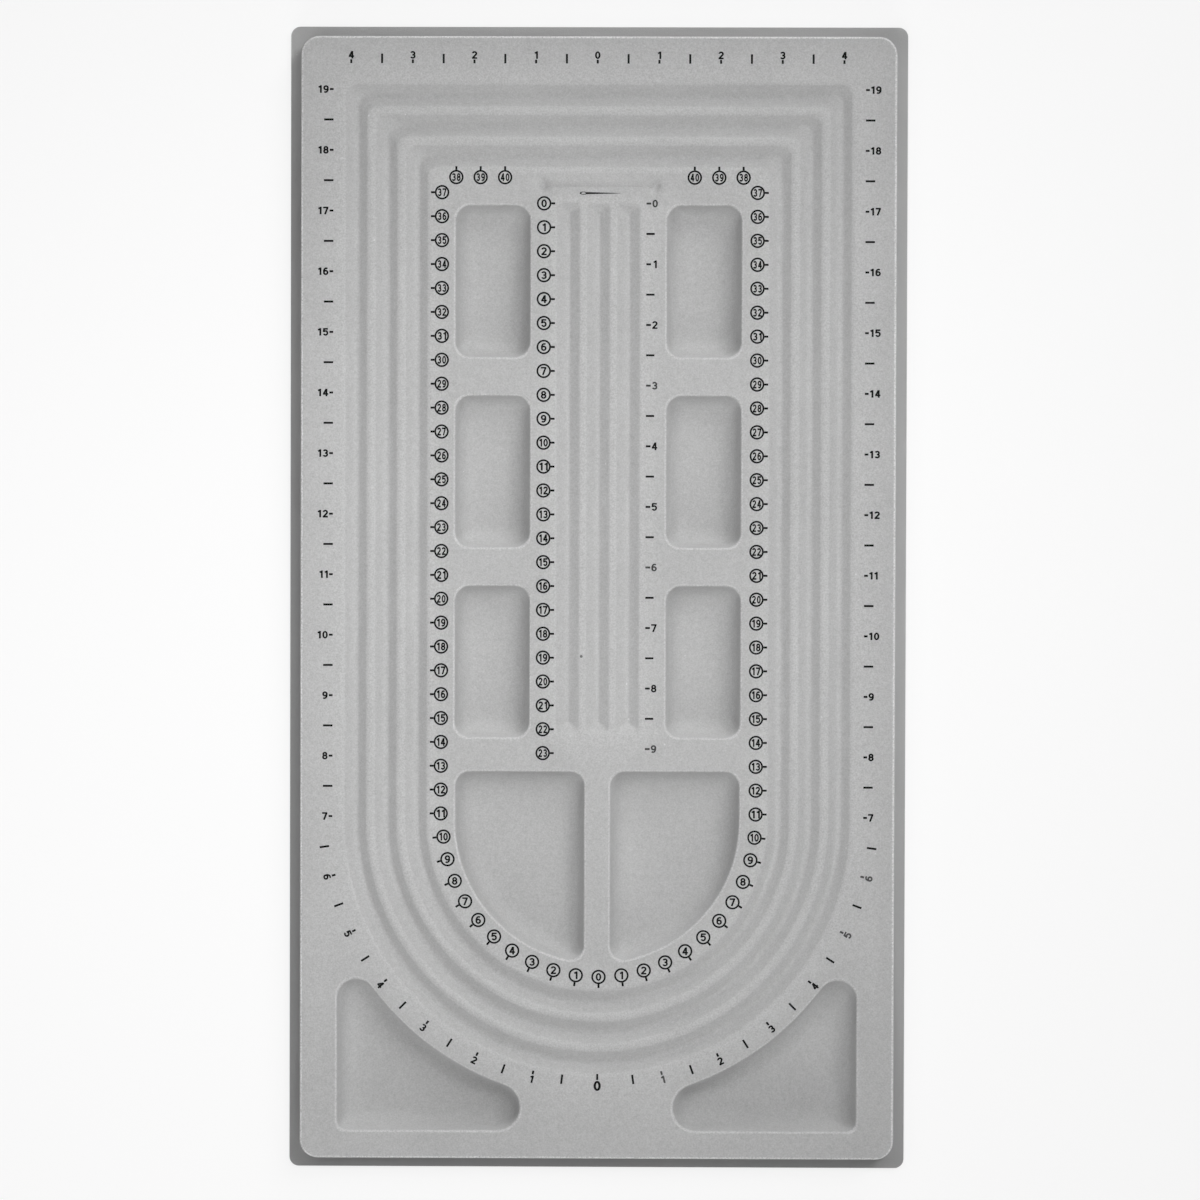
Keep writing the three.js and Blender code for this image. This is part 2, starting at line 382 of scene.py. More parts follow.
def addStraights(board, lift):
    half = straights["width"] / 2
    section = hollowSection(half, straights["depth"], straights["wallSlope"], lift)
    for place in (-1, 0, 1):
        def slotAt(inset):
            corner = straights["rimCorner"] * (half - inset) / half
            top = straights["top"] - inset
            bottom = straights["bottom"] + inset
            centre = (place * straights["pitch"], (top + bottom) / 2)
            return roundedBox(*centre, half - inset, (top - bottom) / 2, corner)
        addPatch(board, recess(slotAt, section, "inside channels", straightRimLevels, crestWearAndSheen))


# The dimples are deeper than the slot, so each ring steps down from the slot into both of them
def addNeedleRest(board, lift):
    patch = newPatch()
    halfSlot = needleRest["slotWidth"] / 2
    radius = needleRest["dimpleRadius"]
    slotLevels = hollowSection(halfSlot, needleRest["slotDepth"], needleRest["slotSlope"], lift)
    dimpleLevels = hollowSection(radius, needleRest["dimpleDepth"], needleRest["dimpleSlope"], lift)
    rings = []
    for (slotInset, slotHeight), (dimpleInset, dimpleHeight) in zip(slotLevels, dimpleLevels):
        reach = radius - dimpleInset
        wide = halfSlot - slotInset
        halfTurn = math.pi - math.asin(wide / reach) - needleRest["mouth"]
        arcs = []
        for side, middle in ((1, 0), (-1, math.pi)):
            centre = (side * needleRest["halfSpan"], needleRest["y"])
            arcs.append((*centre, reach, middle - halfTurn, middle + halfTurn, 3 * steps["corner"]))
        wire = wireLoop(arcs, sheet["height"] + dimpleHeight)
        straightSides = [edge for edge in wire.edges if edge.calc_length() > needleRest["halfSpan"]]
        cuts = bmesh.ops.subdivide_edges(wire, edges=straightSides, cuts=2)
        slotVerts = [item for item in cuts["geom_inner"] if isinstance(item, bmesh.types.BMVert)]
        for vert in slotVerts:
            vert.co.x = math.copysign(needleRest["halfSpan"] - reach - needleRest["ramp"], vert.co.x)
            vert.co.y = needleRest["y"] + math.copysign(wide, vert.co.y - needleRest["y"])
            vert.co.z = sheet["height"] + slotHeight
        rings.append(addWire(patch, wire))
    ladder(patch, rings)
    bmesh.ops.edgeloop_fill(patch, edges=rings[-1])
    markRim(patch, rings[0], "inside channels")
    addPatch(board, patch)


# The three channels as one waved band
def addChannels(board, lift):
    patch = newPatch()
    half = waveSection(channels["pitch"] / 2, channels["depth"], channels["wallSlope"], lift)
    crest = channels["outerHalfWidth"] + channels["pitch"] / 2
    levels = [(crest + steps["flatMargin"], lift - steps["levelStep"])]
    for channel in range(channels["count"]):
        nextCrest = crest - channels["pitch"]
        levels += [(crest - inset, height) for inset, height in half[0 if channel == 0 else 1:]]
        levels += [(nextCrest + inset, height) for inset, height in half[-2::-1]]
        crest = nextCrest
    levels.append((crest - steps["flatMargin"], lift - steps["levelStep"]))
    rings = []
    for halfWidth, height in levels:
        # The crests are paled a little: partly wear, partly a painted highlight where the pile catches light
        wearAndSheen = crestWearAndSheen if height > lift - channels["wornAndSheenDrop"] else 0.0
        rings.append(addWire(patch, wireLoop(channelLoop(halfWidth), sheet["height"] + height), wearAndSheen))
    ladder(patch, rings)
    markRim(patch, rings[0], "outside channels")
    markRim(patch, rings[-1], "inside channels")
    addPatch(board, patch)


# The rim, the outer wall and the flange out to its trimmed edge
def addOuterWall(board, lift):
    patch = newPatch()
    drop = sheet["height"] - sheet["thickness"]
    section = wallSection(drop, sheet["wallDraft"], sheet["rimRadius"], sheet["rootRadius"], lift)
    rings = []
    for index, (outset, height) in enumerate(section):
        arcs = roundedBox(
            0,
            0,
            sheet["plateauWidth"] / 2 + outset,
            sheet["plateauLength"] / 2 + outset,
            sheet["plateauCorner"] + outset,
        )
        # The rounded outer rim is paled: partly wear, partly a painted highlight along the edge
        wearAndSheen = 1.0 if index in edgeLevels else 0.0
        rings.append(addWire(patch, wireLoop(arcs, sheet["height"] + height), wearAndSheen))
    trim = roundedBox(0, 0, sheet["width"] / 2, sheet["length"] / 2, sheet["flangeCorner"])
    rings.append(addWire(patch, wireLoop(trim, sheet["thickness"] + lift)))
    ladder(patch, rings)
    markRim(patch, rings[0], "outside channels")
    addPatch(board, patch)


# The whole formed surface, lifted along its normals
def boardSkin(lift):
    board = newPatch()
    addOuterWall(board, lift)
    addChannels(board, lift)
    addTrays(board, lift)
    addStraights(board, lift)
    addNeedleRest(board, lift)
    layer = board.edges.layers.int["plateauPart"]
    for part in plateauParts.values():
        rims = [edge for edge in board.edges if edge[layer] == part]
        bmesh.ops.triangle_fill(board, use_beauty=True, edges=rims, normal=(0, 0, 1))
    return board


# Two skins joined along the trimmed edge; the upper one also serves to lay the print on
def boardShell(upperLift, lowerLift):
    board = boardSkin(upperLift)
    upper = BVHTree.FromBMesh(board)
    addPatch(board, boardSkin(lowerLift))
    trim = [edge for edge in board.edges if edge.is_boundary]
    bmesh.ops.bridge_loops(board, edges=trim)
    bmesh.ops.remove_doubles(board, verts=board.verts, dist=steps["merge"])
    bmesh.ops.recalc_face_normals(board, faces=board.faces)
    return board, upper


def finishPiece(bm, name, material, replacedNode=None):
    bmesh.ops.scale(bm, vec=(mm, mm, mm), verts=bm.verts)
    mesh = bpy.data.meshes.new(name)
    bm.to_mesh(mesh)
    bm.free()
    mesh.shade_smooth()
    mesh.set_sharp_from_angle(angle=crease)
    mesh.materials.append(material)
    piece = bpy.data.objects.new(name, mesh)
    bpy.context.scene.collection.objects.link(piece)
    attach(piece, "root")
    if replacedNode:
        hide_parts(replacedNode)
    print("made", name, "with", len(mesh.polygons), "faces")


# A node's output, with arithmetic that adds Math nodes
class Wire:
    def __init__(self, finish, socket):
        self.finish = finish
        self.socket = socket

    def math(self, operation, first, second):
        return self.finish.node("ShaderNodeMath", {"operation": operation}, {0: first, 1: second})

    def __add__(self, other):
        return self.math("ADD", self, other)

    def __radd__(self, other):
        return self.math("ADD", other, self)

    def __sub__(self, other):
        return self.math("SUBTRACT", self, other)

    def __rsub__(self, other):
        return self.math("SUBTRACT", other, self)

    def __mul__(self, other):
        return self.math("MULTIPLY", self, other)

    def __lt__(self, other):
        return self.math("LESS_THAN", self, other)


class Finish:
    def __init__(self, name):
        self.material = bpy.data.materials.new(name)
        self.material.use_nodes = True
        self.tree = self.material.node_tree
        self.tree.nodes.clear()
        self.place = self.node("ShaderNodeTexCoord", out="Object")

    def node(self, kind, settings=None, sockets=None, out=0):
        made = self.tree.nodes.new(kind)
        for name, value in (settings or {}).items():
            setattr(made, name, value)
        for name, value in (sockets or {}).items():
            if isinstance(value, Wire):
                self.tree.links.new(value.socket, made.inputs[name])
            else:
                made.inputs[name].default_value = value
        return Wire(self, made.outputs[out]) if made.outputs else made

    def noise(self, grain):
        sockets = {
            "Vector": self.place,
            "Scale": grain["perMetre"],
            "Detail": grain["detail"],
            "Roughness": grain["roughness"],
        }
        return self.node("ShaderNodeTexNoise", {}, sockets, "Fac")

    def blend(self, factor, first, second):
        settings = {"data_type": "RGBA", "clamp_factor": True}
        return self.node("ShaderNodeMix", settings, {0: factor, 6: first, 7: second}, 2)

    def band(self, value, low, high):
        sockets = {"Value": value, "From Min": low, "From Max": high}
        return self.node("ShaderNodeMapRange", {"clamp": True, "interpolation_type": "SMOOTHSTEP"}, sockets)

    def bump(self, height, distance, strength):
        sockets = {"Height": height, "Distance": distance, "Strength": strength}
        return self.node("ShaderNodeBump", {}, sockets)

    def done(self, shader):
        self.node("ShaderNodeOutputMaterial", {}, {"Surface": shader})
        return self.material


def grey(level):
    return (level, level, level, 1.0)


# Short grey pile: speckled at the size of its tufts, clouded where it was stroked, paler along the rim from
# wear and a painted highlight.
# On the flange it is pressed darker, and painted light makes it paler towards the top and the right. Lengths
# are in metres.
flockLook = {
    "shade": 0.36,
    "light": 0.6,
    "wornAndSheen": 0.85,
    "wornAndSheenTufts": (0.2, 0.75),
    "pressed": 0.33,
    # The paler flange tone is painted light, lighter where light falls on the top and the right of the
    # flange
    "paler": 0.43,
    "pressedLevels": (0.0021, 0.0026),
    "pressedShare": 0.9,
    "paintedLightLean": 1.6,
    "paintedLightFade": 0.05,
    "lint": 0.72,
    "lintPerMetre": 95.0,
    "lintRadius": 0.035,
    "lintPatches": (0.5, 0.62),
    "lintShare": 0.7,
    "speck": 0.07,
    "speckX": -0.0068,
    "speckY": -0.0242,
    "speckRadius": 0.0006,
    "speckShare": 0.8,
    "reliefHeight": 0.00026,
    "reliefStrength": 0.85,
}

# The grains of the pile, with their share in its tone and in its relief
pileGrains = {
    "tufts": {"perMetre": 1500, "detail": 3.0, "roughness": 0.65, "tone": 1.3, "relief": 0.6},
    "fibres": {"perMetre": 5200, "detail": 2.0, "roughness": 0.6, "tone": 0.6, "relief": 0.4},
    "mottle": {"perMetre": 420, "detail": 2.0, "roughness": 0.55, "tone": 0.35, "relief": 0.0},
    "clouds": {"perMetre": 34, "detail": 3.0, "roughness": 0.55, "tone": 0.2, "relief": 1.2},
    "drifts": {"perMetre": 9, "detail": 2.0, "roughness": 0.5, "tone": 0.16, "relief": 0.0},
}
lintGrain = {"perMetre": 14, "detail": 1.0, "roughness": 0.5}


def flockFinish():
    finish = Finish("grey flock")
    tone = 0.5
    relief = 0.0
    grains = {}
    for name, grain in pileGrains.items():
        grains[name] = finish.noise(grain)
        tone = tone + (grains[name] - 0.5) * grain["tone"]
        if grain["relief"]:
            relief = relief + grains[name] * grain["relief"]
    pile = finish.blend(tone, grey(flockLook["shade"]), grey(flockLook["light"]))
    across, along, height = (
        finish.node("ShaderNodeSeparateXYZ", {}, {"Vector": finish.place}, axis) for axis in "XYZ"
    )
    # Painted light on the flange: paler towards the top and the right, where the light falls. The pressed
    # tone towards the left and the bottom is the flange's own darker colour
    pressed = 1 - finish.band(height, *flockLook["pressedLevels"])
    fade = flockLook["paintedLightFade"]
    paintedLitTopRight = finish.band(across * flockLook["paintedLightLean"] + along, -fade, fade)
    border = finish.blend(paintedLitTopRight, grey(flockLook["pressed"]), grey(flockLook["paler"]))
    bordered = finish.blend(pressed * flockLook["pressedShare"], pile, border)
    # The pale rim line is partly wear and partly a painted highlight standing in for the sheen of the edge
    wearAndSheen = finish.node("ShaderNodeAttribute", {"attribute_name": "rimWearAndSheen"}, out="Fac")
    wornAndSheenMask = wearAndSheen * finish.band(grains["tufts"], *flockLook["wornAndSheenTufts"])
    wornAndSheen = finish.blend(wornAndSheenMask, bordered, grey(flockLook["wornAndSheen"]))
    cells = finish.node(
        "ShaderNodeTexVoronoi", {}, {"Vector": finish.place, "Scale": flockLook["lintPerMetre"]}, "Distance"
    )
    patches = finish.band(finish.noise(lintGrain), *flockLook["lintPatches"])
    lint = (cells < flockLook["lintRadius"]) * patches
    linted = finish.blend(lint * flockLook["lintShare"], wornAndSheen, grey(flockLook["lint"]))
    besideX = across - flockLook["speckX"]
    besideY = along - flockLook["speckY"]
    speck = (besideX * besideX + besideY * besideY) < flockLook["speckRadius"] ** 2
    colour = finish.blend(speck * flockLook["speckShare"], linted, grey(flockLook["speck"]))
    shader = finish.node(
        "ShaderNodeBsdfPrincipled",
        {},
        {
            "Base Color": colour,
            "Roughness": 1.0,
            "Specular IOR Level": 0.15,
            "Sheen Weight": 0.25,
            "Sheen Roughness": 0.6,
            "Normal": finish.bump(relief, flockLook["reliefHeight"], flockLook["reliefStrength"]),
        },
    )
    return finish.done(shader)


# The plastic under the pile: an orange-peel skin, a little cloudy from forming
plasticLook = {
    "shade": 0.11,
    "light": 0.17,
    "hazeShare": 0.7,
    "scuffShare": 0.3,
    "leastRoughness": 0.34,
    "scuffRoughness": 0.3,
    "peelHeight": 0.0001,
    "peelStrength": 0.35,
    "peel": {"perMetre": 700, "detail": 2.0, "roughness": 0.5},
    "haze": {"perMetre": 22, "detail": 3.0, "roughness": 0.6},
    "scuffs": {"perMetre": 160, "detail": 4.0, "roughness": 0.7},
}


def plasticFinish():
    finish = Finish("formed grey plastic")
    look = plasticLook
    peel = finish.noise(look["peel"])
    haze = finish.noise(look["haze"])
    scuffs = finish.noise(look["scuffs"])
    clouded = haze * look["hazeShare"] + scuffs * look["scuffShare"]
    shader = finish.node(
        "ShaderNodeBsdfPrincipled",
        {},
        {
            "Base Color": finish.blend(clouded, grey(look["shade"]), grey(look["light"])),
            "Roughness": scuffs * look["scuffRoughness"] + look["leastRoughness"],
            "Normal": finish.bump(peel, look["peelHeight"], look["peelStrength"]),
        },
    )
    return finish.done(shader)


# Screen ink on the pile: black, broken up by the tufts, and thin where a mark has rubbed off
inkLook = {
    "black": 0.006,
    "paler": 0.42,
    "tuftMiddle": 0.6,
    "tuftShare": 0.2,
    "reliefHeight": 0.00015,
    "reliefStrength": 0.5,
}


def inkFinish():
    finish = Finish("screen ink")
    tufts = finish.noise(pileGrains["tufts"])
    fade = finish.node("ShaderNodeAttribute", {"attribute_name": "fade"}, out="Fac")
    thin = fade + (tufts - inkLook["tuftMiddle"]) * inkLook["tuftShare"]
    shader = finish.node(
        "ShaderNodeBsdfPrincipled",
        {},
        {
            "Base Color": finish.blend(thin, grey(inkLook["black"]), grey(inkLook["paler"])),
            "Roughness": 0.85,
            "Specular IOR Level": 0.2,
            "Normal": finish.bump(tufts, inkLook["reliefHeight"], inkLook["reliefStrength"]),
        },
    )
    return finish.done(shader)


# Flat stamps, each one millimetre high or across and centred, kept for reuse
stamps = {}
ringSides = 24
barCuts = 4

# How digits are drawn, one millimetre high: bars from point to point, and bands round part of an ellipse
digits = {
    "gap": 0.2,
    "width": 1.13,
    "bandStep": math.radians(24),
    "bars": {
        "1": [(0.06, 0.5, 0.06, -0.5), (-0.2, 0.24, 0.09, 0.42)],
        "2": [(-0.3, -0.405, 0.3, -0.405), (-0.23, -0.42, 0.2, 0.1)],
        "3": [(-0.07, 0.01, 0.06, 0.01)],
        "4": [(0.1, 0.5, 0.1, -0.5), (-0.25, -0.22, 0.08, 0.47), (-0.32, -0.19, 0.31, -0.19)],
        "5": [(-0.24, 0.405, 0.28, 0.405), (-0.17, 0.49, -0.23, -0.03)],
        "7": [(-0.31, 0.405, 0.31, 0.405), (0.23, 0.42, -0.09, -0.5)],
    },
    "bands": {
        "0": [(0, 0, 0.215, 0.405, 0, 360)],
        "2": [(0, 0.19, 0.215, 0.215, 170, -32)],
        "3": [(-0.01, 0.2, 0.2, 0.205, 160, -80), (-0.01, -0.19, 0.22, 0.215, 80, -160)],
        "5": [(-0.01, -0.14, 0.225, 0.265, 140, -155)],
        "6": [(0, -0.165, 0.215, 0.24, 0, 360), (0.05, 0, 0.265, 0.405, 185, 55)],
        "8": [(0, 0.205, 0.185, 0.2, 0, 360), (0, -0.185, 0.215, 0.22, 0, 360)],
        "9": [(0, 0.165, 0.215, 0.24, 0, 360), (-0.05, 0, 0.265, 0.405, 5, -125)],
    },
}


def keepStamp(key, bm):
    stamps[key] = bpy.data.meshes.new("stamp")
    bm.to_mesh(stamps[key])
    bm.free()


# A short edge spun round a circle, with its two rings of points drawn out to an inner and an outer ellipse
def bandStroke(bm, weight, x, y, reachX, reachY, begin, end):
    turn = math.radians(end - begin)
    band = bmesh.new()
    inner = band.verts.new((1, 0, 0))
    outer = band.verts.new((2, 0, 0))
    edge = band.edges.new((inner, outer))
    count = math.ceil(abs(turn) / digits["bandStep"])
    whole = abs(end - begin) == 360
    bmesh.ops.spin(
        band,
        geom=[inner, outer, edge],
        cent=(0, 0, 0),
        axis=(0, 0, 1),
        angle=turn,
        steps=count,
        use_merge=whole,
    )
    start = Matrix.Rotation(math.radians(begin), 3, "Z")
    bmesh.ops.rotate(band, cent=(0, 0, 0), matrix=start, verts=band.verts)
    half = weight / 2
    rings = {1: [], 2: []}
    for vert in band.verts:
        rings[round(vert.co.length)].append(vert)
    for ring, side in ((1, -half), (2, half)):
        bmesh.ops.scale(band, vec=((reachX + side) / ring, (reachY + side) / ring, 1), verts=rings[ring])
    bmesh.ops.translate(band, vec=(x, y, 0), verts=band.verts)
    addPatch(bm, band)


def barStroke(bm, weight, startX, startY, endX, endY):
    along = Vector((endX - startX, endY - startY))
    added = bmesh.ops.create_grid(bm, x_segments=1, y_segments=1, size=0.5)["verts"]
    bmesh.ops.scale(bm, vec=(along.length, weight, 1), verts=added)
    turn = Matrix.Rotation(math.atan2(along.y, along.x), 3, "Z")
    bmesh.ops.rotate(bm, cent=(0, 0, 0), matrix=turn, verts=added)
    bmesh.ops.translate(bm, vec=((startX + endX) / 2, (startY + endY) / 2, 0), verts=added)


# A number as one flat mesh, its digits side by side and the whole of it centred
def numberStamp(text, weight):
    key = (text, weight)
    if key not in stamps:
        bm = bmesh.new()
        edge = 0.0
        for digit in text:
            before = len(bm.verts)
            for line in digits["bars"].get(digit, []):
                barStroke(bm, weight, *line)
            for bend in digits["bands"].get(digit, []):
                bandStroke(bm, weight, *bend)
            bm.verts.ensure_lookup_table()
            added = bm.verts[before:]
            bmesh.ops.scale(bm, vec=(digits["width"], 1, 1), verts=added)
            left = min(vert.co.x for vert in added)
            bmesh.ops.translate(bm, vec=(edge - left, 0, 0), verts=added)
            edge = max(vert.co.x for vert in added) + digits["gap"]
        bmesh.ops.translate(bm, vec=((digits["gap"] - edge) / 2, 0, 0), verts=bm.verts)
        keepStamp(key, bm)
    return stamps[key]


# Adds a copy of a stamp, scaled, turned and placed
def press(bm, mesh, x, y, scaleX, scaleY, turn=0.0, fade=0.0):
    before = len(bm.verts)
    bm.from_mesh(mesh)
    bm.verts.ensure_lookup_table()
    added = bm.verts[before:]
    bmesh.ops.scale(bm, vec=(scaleX, scaleY, 1), verts=added)
    bmesh.ops.rotate(bm, cent=(0, 0, 0), matrix=Matrix.Rotation(turn, 3, "Z"), verts=added)
    bmesh.ops.translate(bm, vec=(x, y, 0), verts=added)
    layer = bm.verts.layers.float["fade"]
    for vert in added:
        vert[layer] = fade


# A plain bar one millimetre each way, with cuts along it so that it can follow a crest
def barStamp():
    if "bar" not in stamps:
        bm = bmesh.new()
        bmesh.ops.create_grid(bm, x_segments=barCuts, y_segments=1, size=0.5)
        keepStamp("bar", bm)
    return stamps["bar"]


def ringStamp(line):
    key = ("ring", line)
    if key not in stamps:
        bm = bmesh.new()
        bmesh.ops.create_circle(bm, cap_ends=True, segments=ringSides, radius=0.5)
        bmesh.ops.inset_region(bm, faces=bm.faces[:], thickness=line, use_boundary=True)
        middle = min(bm.faces, key=lambda face: face.calc_center_median().length)
        bmesh.ops.delete(bm, geom=[middle], context="FACES_ONLY")
        keepStamp(key, bm)
    return stamps[key]


def bar(bm, x, y, length, width, turn=0.0, fade=0.0):
    press(bm, barStamp(), x, y, length, width, turn, fade)


def stampWidth(value, weight):
    across = [vert.co.x for vert in numberStamp(str(value), weight).vertices]
    return max(across) - min(across)


def strokeWeight(value, look):
    return look["pairWeight" if value > 9 else "weight"]


# A number as wide as its digits come, or narrowed to fit
def number(bm, value, x, y, look, turn=0.0, fade=0.0):
    weight = strokeWeight(value, look)
    width = min(look["digit"], look["fit"] / stampWidth(value, weight))
    press(bm, numberStamp(str(value), weight), x, y, width, look["digit"], turn, fade)


def newPrint():
    bm = bmesh.new()
    bm.verts.layers.float.new("fade")
    return bm


# Lays flat marks on the pile and gives the ink its thickness
inkFilm = {
    "stand": 0.03,
    "thickness": 0.05,
    "dropFrom": 5.0,
}


def layInk(bm, name, upper, material):
    down = Vector((0, 0, -1))
    for vert in bm.verts:
        above = Vector((vert.co.x, vert.co.y, sheet["height"] + inkFilm["dropFrom"]))
        vert.co.z = upper.ray_cast(above, down)[0].z + inkFilm["stand"]
    film = bmesh.ops.extrude_face_region(bm, geom=bm.faces[:], use_keep_orig=True)
    lower = [item for item in film["geom"] if isinstance(item, bmesh.types.BMVert)]
    bmesh.ops.translate(bm, vec=down * inkFilm["thickness"], verts=lower)
    bmesh.ops.recalc_face_normals(bm, faces=bm.faces)
    finishPiece(bm, name, material)


# Inches round the outside: up both sides, round the curve, and across the top
inchScale = {
    "inch": 25.415,
    "shiftX": 0.25,
    "first": 7,
    "last": 19,
    "firstY": -91.66,
    "tickInner": 111.5,
    "halfTick": 4.0,
    "numberTick": 1.6,
    "tickWidth": 0.86,
    "numberGap": 0.45,
    "digit": 3.15,
    "fit": 9.0,
    "weight": 0.22,
    "pairWeight": 0.22,
    "faded": (1, 5, 6),
    "fade": 0.2,
}

# Its curve has a centre of its own and flattens a little at the bottom
inchArc = {
    "x": 0.4,
    "y": -89.1,
    "begin": math.radians(1.3),
    "step": math.radians(12.47),
    "tick": 114.4,
    "halfTick": 116.0,
    "number": 117.25,
    "flat": 2.8,
    "flatSpread": math.radians(13),
    "zero": {"digit": 4.2, "numberTick": 2.5, "tick": 114.85, "number": 118.6},
}

inchTop = {
    "x": -0.6,
    "pitch": 25.82,
    "last": 4,
    "tickY": 224.2,
    "numberY": 227.7,
}


def sideInches(bm, side):
    look = inchScale
    for value in range(look["first"], look["last"] + 1):
        y = look["firstY"] + (value - look["first"]) * look["inch"]
        halfNumber = stampWidth(value, strokeWeight(value, look)) * look["digit"] / 2
        numberReach = look["numberTick"] + look["numberGap"] + halfNumber
        x = look["shiftX"] + side * (look["tickInner"] + look["numberTick"] / 2)
        bar(bm, x, y, look["numberTick"], look["tickWidth"])
        number(bm, value, look["shiftX"] + side * (look["tickInner"] + numberReach), y, look)
        x = look["shiftX"] + side * (look["tickInner"] + look["halfTick"] / 2)
        if value < look["last"]:
            bar(bm, x, y + look["inch"] / 2, look["halfTick"], look["tickWidth"])


def arcPlace(reach, side, around):
    flat = inchArc["flat"] * math.exp(-((around / inchArc["flatSpread"]) ** 2))
    x = inchArc["x"] + side * (reach - flat) * math.sin(around)
    return x, inchArc["y"] - (reach - flat) * math.cos(around)


# The numbers stand with their heads towards the middle of the curve
def arcInches(bm, side):
    look = inchScale
    for half in range(1 if side < 0 else 0, 2 * look["first"]):
        value, odd = divmod(half, 2)
        around = inchArc["begin"] + half * inchArc["step"] / 2 if half else 0.0
        spoke = side * around - quarter
        if odd:
            bar(bm, *arcPlace(inchArc["halfTick"], side, around), look["halfTick"], look["tickWidth"], spoke)
        else:
            mark = {**look, **inchArc, **({} if half else inchArc["zero"])}
            fade = look["fade"] if side > 0 and value in look["faded"] else 0.0
            tick = arcPlace(mark["tick"], side, around)
            bar(bm, *tick, mark["numberTick"], look["tickWidth"], spoke, fade)
            number(bm, value, *arcPlace(mark["number"], side, around), mark, side * around, fade)


def topInches(bm):
    look = inchScale
    for half in range(-2 * inchTop["last"], 2 * inchTop["last"] + 1):
        x = inchTop["x"] + half * inchTop["pitch"] / 2
        length = look["halfTick"] if half % 2 else look["numberTick"]
        bar(bm, x, inchTop["tickY"] + length / 2, length, look["tickWidth"], quarter)
        if half % 2 == 0:
            number(bm, abs(half) // 2, x, inchTop["numberY"], look)


def inchMarks():
    bm = newPrint()
    for side in (-1, 1):
        sideInches(bm, side)
        arcInches(bm, side)
    topInches(bm)
    return bm


# Circled centimetres round the inner side of the channels
ringScale = {
    "shiftX": 0.45,
    "columnX": 66.15,
    "columnY": -90.4,
    "centimetre": 10.025,
    "columnLast": 37,
    "arcX": 0.83,
    "arcY": -93.3,
    "arcRadius": 65.7,
    "arcStep": math.radians(8.4),
    "arcLast": 10,
    "topY": 176.6,
    "topX": {38: 60.2, 39: 50.0, 40: 39.75},
    "across": 6.1,
    "line": 0.122,
    "tick": 1.6,
    "tickWidth": 0.86,
    "digit": 3.3,
    "fit": 3.65,
    "weight": 0.2,
    "pairWeight": 0.21,
}


def circled(bm, value, x, y, turn):
    look = ringScale
    press(bm, ringStamp(look["line"]), x, y, look["across"], look["across"])
    reach = (look["across"] + look["tick"]) / 2
    bar(bm, x + reach * math.cos(turn), y + reach * math.sin(turn), look["tick"], look["tickWidth"], turn)
    number(bm, value, x, y, look)


def ringMarks():
    bm = newPrint()
    look = ringScale
    for side in (-1, 1):
        for value in range(1 if side < 0 else 0, look["arcLast"] + 1):
            turn = side * value * look["arcStep"] - quarter
            x = look["arcX"] + look["arcRadius"] * math.cos(turn)
            circled(bm, value, x, look["arcY"] + look["arcRadius"] * math.sin(turn), turn)
        for value in range(look["arcLast"] + 1, look["columnLast"] + 1):
            y = look["columnY"] + (value - look["arcLast"] - 1) * look["centimetre"]
            circled(bm, value, look["shiftX"] + side * look["columnX"], y, 0 if side > 0 else math.pi)
        for value, x in look["topX"].items():
            circled(bm, value, look["shiftX"] + side * x, look["topY"], quarter)
    return bm


# Centimetres and inches on either side of the straight channels
centreScale = {
    "topY": 165.7,
    "ringX": -22.9,
    "lastCentimetre": 23,
    "tickX": 20.0,
    "numberTick": 2.0,
    "halfTick": 3.5,
    "tickWidth": 0.84,
    "numberX": 23.65,
    "lastInch": 9,
    "digit": 3.25,
    "fit": 9.0,
    "weight": 0.2,
    "pairWeight": 0.2,
    "faded": (0, 3, 6, 9),
    "fade": 0.14,
}


def centreRingMarks():
    bm = newPrint()
    for value in range(centreScale["lastCentimetre"] + 1):
        circled(bm, value, centreScale["ringX"], centreScale["topY"] - value * ringScale["centimetre"], 0)
    return bm


def centreInchMarks():
    bm = newPrint()
    look = centreScale
    for half in range(2 * look["lastInch"] + 1):
        value, odd = divmod(half, 2)
        y = look["topY"] - half * inchScale["inch"] / 2
        length = look["halfTick"] if odd else look["numberTick"]
        fade = look["fade"] if value in look["faded"] and not odd else 0.0
        bar(bm, look["tickX"] + length / 2, y, length, look["tickWidth"], 0, fade)
        if not odd:
            number(bm, value, look["numberX"], y, look, 0, fade)
    return bm


# A small drawing of a needle beside its rest: an eye, then a shank that tapers to a point
needleMark = {
    "x": 0.6,
    "y": 170.0,
    "eyeLength": 3.2,
    "eyeWidth": 1.3,
    "eyeLine": 0.2,
    "shank": 14.0,
    "shankWidth": 0.85,
    "point": 0.12,
}


def needleMarks():
    bm = newPrint()
    look = needleMark
    left = look["x"] - (look["eyeLength"] + look["shank"]) / 2
    eyeX = left + look["eyeLength"] / 2
    shankX = left + look["eyeLength"] + look["shank"] / 2 - look["eyeLine"]
    press(bm, ringStamp(look["eyeLine"]), eyeX, look["y"], look["eyeLength"], look["eyeWidth"])
    before = len(bm.verts)
    bar(bm, shankX, look["y"], look["shank"], look["shankWidth"])
    bm.verts.ensure_lookup_table()
    for vert in bm.verts[before:]:
        along = (vert.co.x - left - look["eyeLength"]) / look["shank"]
        vert.co.y = look["y"] + (vert.co.y - look["y"]) * (1 - along * (1 - look["point"]))
    return bm


# A plain floor that shows white and still takes the shadow
stageLook = {
    "size": 3.0,
    "drop": 0.0002,
    "white": 0.9,
    "backlit": 0.8,
}


